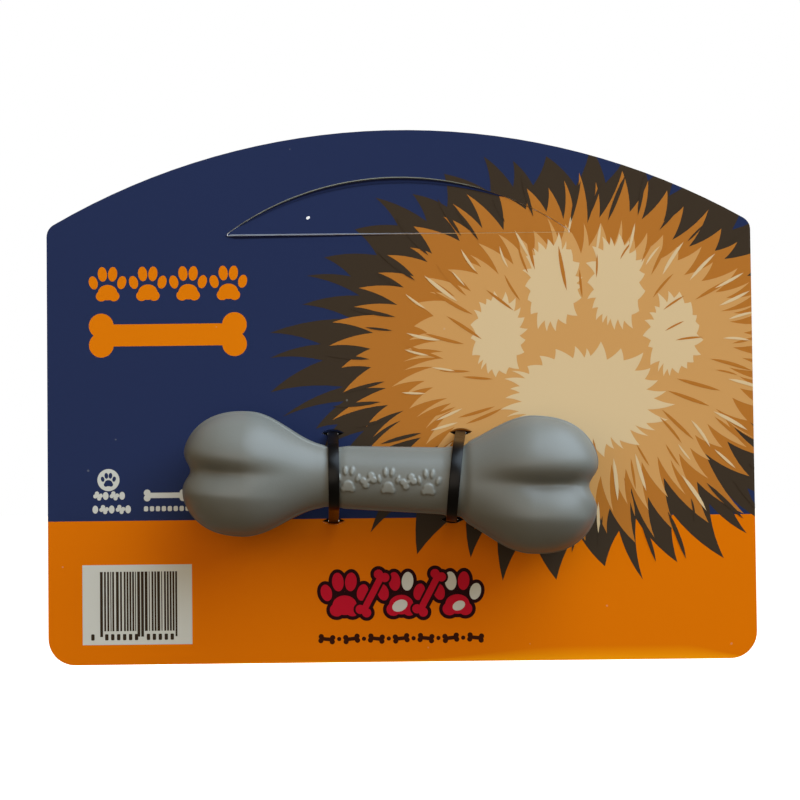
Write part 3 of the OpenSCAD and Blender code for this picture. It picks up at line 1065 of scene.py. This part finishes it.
def tuftedOutline(middle, halfWidth, halfHeight, tufts, depth, sway, seed, droop=0, bow=0.10):
    # a round patch whose edge breaks into uneven tufts of fur that bend one way
    dice = random.Random(seed)

    def spot(angle, share):
        x, height = halfWidth * share * math.cos(angle), halfHeight * share * math.sin(angle)
        return Vector((x, height)) + Vector(middle)

    widths = [vary(dice, *tuft["width"]) for index in range(tufts)]
    total = sum(widths)
    angle, points = 0, []
    valleys = []
    for width in widths:
        valleys.append((angle, 1 - depth * vary(dice, *tuft["valley"])))
        angle += 2 * math.pi * width / total
    ends = valleys[1:] + [(2 * math.pi, valleys[0][1])]
    for (start, inner), (end, following) in zip(valleys, ends):
        step = end - start
        length = min(tuft["longest"], tuft["shortest"] + tuft["growth"] * step / (2 * math.pi))
        reach = 1 + depth * vary(dice, *tuft["reach"]) * length
        tip = start + step * (0.5 + sway * vary(dice, *tuft["sway"]))
        hang = droop * (1 - math.sin(tip)) / 2 * vary(dice, *tuft["hang"])
        point = spot(tip, reach) - Vector((tuft["hangIn"] * math.cos(tip), 1)) * hang
        root, last = spot(start, inner), spot(end, following)
        points += curve(root, bowed(root, point, bow), point)
        points += curve(point, bowed(point, last, -bow), last)
    return points


def addHair(bm, x, height, length, width, lean, bend):
    # one curved strand that tapers to both ends; lean turns it from upright towards the right
    sides = []
    for step in range(strand["steps"] + 1):
        t = step / strand["steps"]
        half = width * (t * (1 - t)) ** strand["taper"]
        sides.append([leaned(bend * t * t + way * half, length * t, lean) for way in (1, -1)])
    points = [right for right, left in sides] + [left for right, left in sides[-2:0:-1]]
    addOutline(bm, [(x + dx, height + dz) for dx, dz in points])


def addCoat(bm, middle, squash, inner, outer, count, length, width, seed):
    # strands that stand out from a middle, spread over the ring between two radii
    dice = random.Random(seed)
    for index in range(count):
        angle = 360 * vary(dice, index, strand["spread"]) / count
        radius = vary(dice, inner, outer - inner)
        x = middle[0] + radius * math.cos(math.radians(angle))
        height = middle[1] + radius * squash * math.sin(math.radians(angle))
        size = vary(dice, *strand["size"])
        lean = 90 - angle + swing(dice, *strand["lean"])
        addHair(bm, x, height, length * size, width * size, lean, swing(dice, *strand["bend"]))


bothBoards = ("backing_card", "hang_flap")

# A paw print in tufted fur. A patch has a middle, half sizes, a number of tufts, their depth and sway,
# a seed and how far its lower tufts hang. A coat has an inner and outer radius, a number of strands,
# their length and width, and a seed.
fur = {
    "patches": {
        "print_splash": ("darkBrown", 0, ((62, 108), 95, 68, 46, 0.22, 0.12, 14, 4)),
        "print_field": ("foxBrown", 1, ((63, 107), 78, 57, 60, 0.24, 0.10, 8, 4)),
        "print_glow": ("tan", 2, ((66, 106), 61, 45, 66, 0.24, 0.10, 12, 4)),
    },
    "pawMiddle": (66, 110), "pawSize": 40,
    "toeShare": 0.94, "toeTufts": (20, 0.24, 0.1), "toeSeed": 70,
    "heel": ((66, 92), 26, 17.5, 32, 0.24, 0.1, 5),
    "coatMiddle": (66, 104), "squash": 0.76,
    "coats": {
        "print_dark_strands": ("darkBrown", 6, (66, 77, 46, 13, 1.5, 21)),
        "print_fox_strands": ("foxBrown", 4, (30, 54, 44, 12, 1.3, 34)),
        "print_cream_strands": ("cream", 5, (44, 64, 40, 11, 1.3, 55)),
    },
}
for name, (ink, layer, patch) in fur["patches"].items():
    printOutline(name, tuftedOutline(*patch), ink, layer, bothBoards)

shapes = bmesh.new()
pawX, pawHeight = fur["pawMiddle"]
for x, height, rx, rz, lean in pawPads(fur["pawSize"])[:4]:
    size = (rx * fur["toeShare"], rz * fur["toeShare"])
    seed = int(x) + fur["toeSeed"]
    toe = tuftedOutline((pawX + x, pawHeight + height), *size, *fur["toeTufts"], seed)
    addOutline(shapes, toe)
addOutline(shapes, tuftedOutline(*fur["heel"]))
printInk("print_paw", shapes, "cream", 3)

for name, (ink, layer, coat) in fur["coats"].items():
    shapes = bmesh.new()
    addCoat(shapes, fur["coatMiddle"], fur["squash"], *coat)
    printInk(name, shapes, ink, layer, bothBoards)

# A row of paws over a bone
heading = {
    "paws": 4, "start": -103.4, "pitch": 14.3, "height": 134.4, "pawSize": 6.5,
    "bone": {"x": -82.1, "height": 116.4, "halfLength": 28, "halfHeight": 7.8, "bar": 1.0},
}
shapes = bmesh.new()
for index in range(heading["paws"]):
    x = heading["start"] + index * heading["pitch"]
    addPaw(shapes, x, heading["height"], heading["pawSize"])
addBone(shapes, **heading["bone"])
printInk("print_heading", shapes, "title")

# Small white marks: a paw in a disc over two rows, and a bone over a row of dashes
symbols = {
    "disc": (-103.5, 65.2), "discRadius": 3.9, "discPaw": 2.6,
    "rows": ((59.6, -108.6, 4), (54.8, -109.4, 5)), "pitch": 2.9,  # height, left end and count of marks
    "spotShift": 1.2, "spotSize": (1.0, 1.4),
    "boneShift": 1.4, "boneSize": (1.5, 1.3), "boneLean": 30,
    "bone": {"x": -83.5, "height": 59.6, "halfLength": 7.5, "halfHeight": 2.1, "bar": 0.9},
    "dashes": 9, "dashStart": -91.0, "dashPitch": 2.1,
    "dashWidth": 1.5, "dashHeights": (54.0, 55.8), "dashCorner": 0.5,
}
shapes = bmesh.new()
addSpot(shapes, *symbols["disc"], symbols["discRadius"], symbols["discRadius"])
for height, start, count in symbols["rows"]:
    for index in range(count):
        x = start + index * symbols["pitch"]
        if (index + count) % 2:
            addSpot(shapes, x + symbols["spotShift"], height, *symbols["spotSize"])
        else:
            x += symbols["boneShift"]
            addBone(shapes, x, height, *symbols["boneSize"], symbols["boneLean"])
addBone(shapes, **symbols["bone"])
bottom, top = symbols["dashHeights"]
for index in range(symbols["dashes"]):
    x = symbols["dashStart"] + index * symbols["dashPitch"]
    addPanel(shapes, x, bottom, x + symbols["dashWidth"], top, symbols["dashCorner"])
printInk("print_symbols", shapes, "white")

shapes = bmesh.new()
addPaw(shapes, *symbols["disc"], symbols["discPaw"])
printInk("print_disc_paw", shapes, "navy", 1)

# A white panel with random bars, and blank round marks below them
label = {
    "panel": (-112.9, 7.1, -74.2, 35.2),  # left, bottom, right, top
    "seed": 17, "barSpan": (-106.7, -79.4),
    "barWidths": (0.33, 0.66, 0.66, 0.99), "gapWidths": (0.33, 0.33, 0.45, 0.66),
    "guards": ((-106.7, -105.6), (-93.6, -92.2), (-80.6, -79.4)),  # where the bars are longer
    "barTop": 32.8, "barBottom": 11.9, "guardBottom": 9.9,
    "markStart": -105.0, "markPitch": 2.1, "markPlaces": (0, 1, 2, 3, 4, 5, 7, 8, 9, 10, 11),
    "loneMark": -109.9, "markWidth": 1.2, "markHeights": (8.7, 10.9), "markCorner": 0.35,
}
shapes = bmesh.new()
addPanel(shapes, *label["panel"])
printInk("print_label", shapes, "white")

shapes = bmesh.new()
dice = random.Random(label["seed"])
left, end = label["barSpan"]
while left < end:
    width = dice.choice(label["barWidths"])
    isGuard = any(start <= left < stop for start, stop in label["guards"])
    bottom = label["guardBottom"] if isGuard else label["barBottom"]
    addPanel(shapes, left, bottom, left + width, label["barTop"])
    left += width + dice.choice(label["gapWidths"])
marks = [label["markStart"] + place * label["markPitch"] for place in label["markPlaces"]]
bottom, top = label["markHeights"]
for x in marks + [label["loneMark"]]:
    addPanel(shapes, x, bottom, x + label["markWidth"], top, label["markCorner"])
printInk("print_bars", shapes, "barBrown", 1)

# A badge of three paws crossed by two bones, with white patches and a dark rim
badge = {
    "paws": (-20.4, -0.4, 19.4), "pawHeight": 23.6, "pawSize": 8.2,
    "bones": (-10.5, 9.5), "boneHeight": 24.2, "boneSize": (8.6, 2.9), "boneLean": -62,
    "rim": 1.25, "boneRim": 0.75,
    "palePads": ((-0.4, 3), (19.4, 1), (19.4, 2)),  # the paw's place and which of its pads is white
    "shines": ((-0.9, 19.8, 2.8, 1.96), (19.9, 19.6, 2.3, 1.61)), "shineLean": -25,
}


def addBadgePaws(bm, grow):
    for x in badge["paws"]:
        addPaw(bm, x, badge["pawHeight"], badge["pawSize"], grow)


def addBadgeBones(bm, grow):
    for x in badge["bones"]:
        addBone(bm, x, badge["boneHeight"], *badge["boneSize"], badge["boneLean"], grow=grow)


def addBadgeRim(bm, grow):
    addBadgePaws(bm, grow)
    addBadgeBones(bm, grow)


def addBadgePatches(bm, grow):
    for x, pick in badge["palePads"]:
        addPaw(bm, x, badge["pawHeight"], badge["pawSize"], grow, (pick,))
    for shine in badge["shines"]:
        addSpot(bm, *shine, badge["shineLean"])


for name, ink, layer, draw, grow in (
    ("print_badge_rim", "outline", 1, addBadgeRim, badge["rim"]),
    ("print_badge", "red", 2, addBadgePaws, 0),
    ("print_badge_patches", "white", 3, addBadgePatches, 0),
    ("print_badge_bone_rim", "outline", 4, addBadgeBones, badge["boneRim"]),
    ("print_badge_bones", "red", 5, addBadgeBones, 0),
):
    shapes = bmesh.new()
    draw(shapes, grow)
    printInk(name, shapes, ink, layer)

# A row of bones with dots between them
strapline = {
    "start": -26.8, "pitch": 8.75, "bones": 7, "height": 8.3,
    "boneSize": (2.95, 1.65), "boneLean": 6, "dot": 0.75,
}
shapes = bmesh.new()
height, dot = strapline["height"], strapline["dot"]
for index in range(strapline["bones"]):
    x = strapline["start"] + index * strapline["pitch"]
    addBone(shapes, x, height, *strapline["boneSize"], strapline["boneLean"] * (-1) ** index)
    if index:
        addSpot(shapes, x - strapline["pitch"] / 2, height, dot, dot)
printInk("print_strapline", shapes, "slogan")

# A small scuff in the flap's print
scuff = {"x": -32.0, "height": 157.5, "halfWidth": 0.75, "halfHeight": 0.5, "lean": -35}
shapes = bmesh.new()
addSpot(shapes, **scuff)
printInk("print_scuff", shapes, "scuff", 0, ("hang_flap",))
print("printing ready")


# Lips of the slits, pushed back by the straps, and the creased fold of the flap

lip = {
    "halfLength": 4.1, "halfHeight": 1.3, "thickness": 0.14, "columns": 56, "rows": 5,
    "smoothAngle": 40,
    "backLimit": 0.35,  # faces whose normal has more than this along Y are plain
    "overlap": 0.3,  # of the lip with the board behind the slit's edge
    "behind": 0.32,  # of its root, from the board's middle plane
    "clearHalf": 1.84,  # half width kept open for the strap
    "closing": 0.08,  # width over which the slit closes beside the strap
    "gatherShare": 0.75, "gatherReach": 0.3,  # of the columns' way to the strap's edge
    "endPush": 0.5,  # share of the push that is lost at the slit's ends
    # how far the lip's edge is pushed back, and its height from the slit's middle
    "overStrap": {1: (0.6, -0.05), -1: (0.6, 0.45)},  # behind the strap, at the top and bottom slit
    "closed": (0.32, -0.2),  # beside the strap
    "turned": (0.04, 1.25), "tucked": (0.56, -0.2),  # the other lip, behind the strap and beside it
    "inks": {"left": {1: "navy", -1: "orange"}, "right": {1: "foxBrown", -1: "darkBrown"}},
    "shadowSpan": (0.25, 0.7), "shadow": (9, 9, 10),
}


def lipMaterial(ink):
    # printed near its root, in deep shade towards the strap, plain board behind
    material, tree, shader = newMaterial("lip_" + ink, Roughness=0.6, Specular_IOR_Level=board["sheen"])
    dark = smoothSpan(tree, attribute(tree, "depth"), *lip["shadowSpan"])
    base = mixColours(tree, dark, tone(inks[ink]), tone(lip["shadow"]))
    isBack = mathNode(tree, "GREATER_THAN", coordinate(tree, "Y", "Normal"), lip["backLimit"])
    paint(tree, shader, Base_Color=mixColours(tree, isBack, base, tone(board["plain"])))
    return material


def addLip(bm, side, turned):
    # side is 1 above the slit and -1 below it
    made = bmesh.ops.create_grid(bm, x_segments=lip["columns"], y_segments=lip["rows"], size=1)
    depth = bm.verts.layers.float["depth"]
    middle, beside = (lip["turned"], lip["tucked"]) if turned else (lip["overStrap"][side], lip["closed"])
    for vert in made["verts"]:
        x, v = vert.co.x * lip["halfLength"], (vert.co.y + 1) / 2
        away = abs(x) - lip["clearHalf"] - lip["closing"] / 2
        near = lip["gatherShare"] * math.exp(-((away / lip["gatherReach"]) ** 2))
        x -= math.copysign(away, x) * near  # columns gather at the strap's edge
        u = x / lip["halfLength"]
        aside = 1 - ease((abs(x) - lip["clearHalf"]) / lip["closing"])
        push, edge = (between(first, second, aside) for first, second in zip(middle, beside))
        half = lip["halfHeight"] * (1 - u * u)
        root = half + lip["overlap"]
        start = lip["overlap"] / (root - lip["closed"][1])
        share = max(v - start, 0) / (1 - start)
        vert[depth] = 1 if turned else share
        y = lip["behind"] + push * share * (1 - u * u * lip["endPush"])
        vert.co = (x, y, side * between(root, min(edge, half), v))


def makeLips(side):
    for end, label in ((1, "top"), (-1, "bottom")):
        bm = bmesh.new()
        bm.verts.layers.float.new("depth")
        addLip(bm, end, False)
        addLip(bm, -end, True)
        bmesh.ops.solidify(bm, geom=bm.faces[:], thickness=lip["thickness"])
        bmesh.ops.recalc_face_normals(bm, faces=bm.faces)
        slit = turn(tie[side]["lean"], "Y") @ Vector((0, 0, end * tie["slitPitch"] / 2))
        bmesh.ops.translate(bm, vec=tieMiddle(side) + slit, verts=bm.verts)
        name, material = f"slit_lips_{side}_{label}", lipMaterial(lip["inks"][side][end])
        makePiece(name, bm, material, "card", lip["smoothAngle"])


makeLips("left")
makeLips("right")

fold = {
    "halfLength": 60.6, "bottom": -20.2, "top": -20.03,
    "inset": 0.05,  # of the crease from the card's back
    # the pale colour is partly a painted highlight on the crease's ridge; the brown is the print's colour
    # at the right end
    "pale": (178, 188, 204), "printBrown": (186, 152, 104), "paleSpan": (0.02, -0.045),  # metres
    # outlines of the painted shadow under the crease and the painted highlight above it, as places along
    # the fold and heights over its edge
    "shade": ((-61.8, 0), (2, 0), (-28, -0.6), (-58, -0.95)),
    "glint": ((-60.3, 0), (22, 0), (-20, 0.26), (-59.6, 0.3)),
}
opening = {
    "radius": 105.249, "kerf": 0.2,
    "endX": 60.72, "cornerGap": 0.1, "cornerEnd": 62.0,  # where the flap's pointed ends stop, and beside
    "bands": (("softShade", 1.7, 7), ("shade", 0.8, 8)),  # soft shadow under the arch: ink, width, layer
    "bandSpan": (-57, 38),
    "glint": 0.26, "glintSpan": (-61.6, 30),
    "rimGap": 0.05, "rimSpan": (-60, 60),  # left between the flap's fibres and the arch
    # the rim's greys, darker than the board's pale core, are painted shade of a cut edge that faces down
    "rimFibre": (700.0, 4.0, 0.5), "rimGrey": (104, 108, 100),
    "rimBrown": (122, 84, 46), "brownSpan": (0.018, 0.042),  # metres across the card
}


def foldMaterial():
    # pale bluish where the coating has cracked and as a painted highlight on the crease's ridge, most at
    # the left end, dark elsewhere
    material, tree, shader = newMaterial("creasedFold", Roughness=0.5, Specular_IOR_Level=board["sheen"])
    share = smoothSpan(tree, coordinate(tree, "X"), *fold["paleSpan"])
    paint(tree, shader, Base_Color=mixColours(tree, share, tone(fold["printBrown"]), tone(fold["pale"])))
    return material


def rimMaterial():
    # torn board fibres along the cut, grey with painted shade of a cut edge that faces down, and brown
    # where the print above is brown
    material, tree, shader = newMaterial("cutFibresShaded", Roughness=0.8, Specular_IOR_Level=board["sheen"])
    grey = mottled(tree, opening["rimFibre"], (opening["rimGrey"], inks["edgeGlintAndShade"]))["Color"]
    browned = smoothSpan(tree, coordinate(tree, "X"), *opening["brownSpan"])
    paint(tree, shader, Base_Color=mixColours(tree, browned, grey, tone(opening["rimBrown"])))
    return material


def archLevel(x):
    # height of the opening's arch, from the top of the opening
    return math.sqrt(opening["radius"] ** 2 - x * x) - opening["radius"]


def archLine(start, end, inner, outer):
    # a crescent band that follows the opening's arch, tapered to its ends
    points, back = [], []
    steps = 48
    for step in range(steps + 1):
        x = start + (end - start) * step / steps
        share = math.sin(math.pi * step / steps) ** 0.5
        level = archLevel(x) - cardBottom
        points.append((x, level + inner))
        back.append((x, level + inner + (outer - inner) * share))
    return points + back[::-1][1:-1]


bm = bmesh.new()
low = (-fold["halfLength"], cardFront, fold["bottom"])
addBlock(bm, low, (fold["halfLength"], cardBack - fold["inset"], fold["top"]))
makePiece("fold_crease", bm, foldMaterial(), "card")

kerf = opening["kerf"]
foldEdge = fold["bottom"] - cardBottom

# painted shadow under the crease, on the card
shade = [(x, foldEdge + height) for x, height in fold["shade"]]
printOutline("print_fold_shade", shade, "shade", 7)
# painted shadow under the arch, on the flap
for ink, width, layer in opening["bands"]:
    band = archLine(*opening["bandSpan"], -kerf, -kerf - width)
    printOutline("print_arch_" + ink, band, ink, layer, ("hang_flap",))
# painted highlight on the flap just above the crease
glint = [(x, foldEdge + kerf + height) for x, height in fold["glint"]]
printOutline("print_fold_glint", glint, "glint", 7, ("hang_flap",))
# painted highlight along the arch's cut edge, on the card's front
glint = archLine(*opening["glintSpan"], 0, opening["glint"])
printOutline("print_arch_glint", glint, "edgeGlintAndShade", 7)

bm = bmesh.new()
addOutline(bm, archLine(*opening["rimSpan"], -kerf, -opening["rimGap"]))
stretchFaces(bm, cardFront, cardBack)
bmesh.ops.transform(bm, matrix=flapUpright(-1), verts=bm.verts)
makePiece("flap_rim", bm, rimMaterial(), "flap")

for side, name, ink in ((-1, "fold_corner_left", "navy"), (1, "fold_corner_right", "foxBrown")):
    bm = bmesh.new()
    x = opening["endX"] + opening["cornerGap"]
    corners = ((x, foldEdge), (opening["cornerEnd"], foldEdge), (x, archLevel(x) - cardBottom))
    addOutline(bm, [(side * px, height) for px, height in corners])
    stretchFaces(bm, cardFront, cardBack)
    makePiece(name, bm, inkMaterials[ink], "card")
print("slits and fold ready")
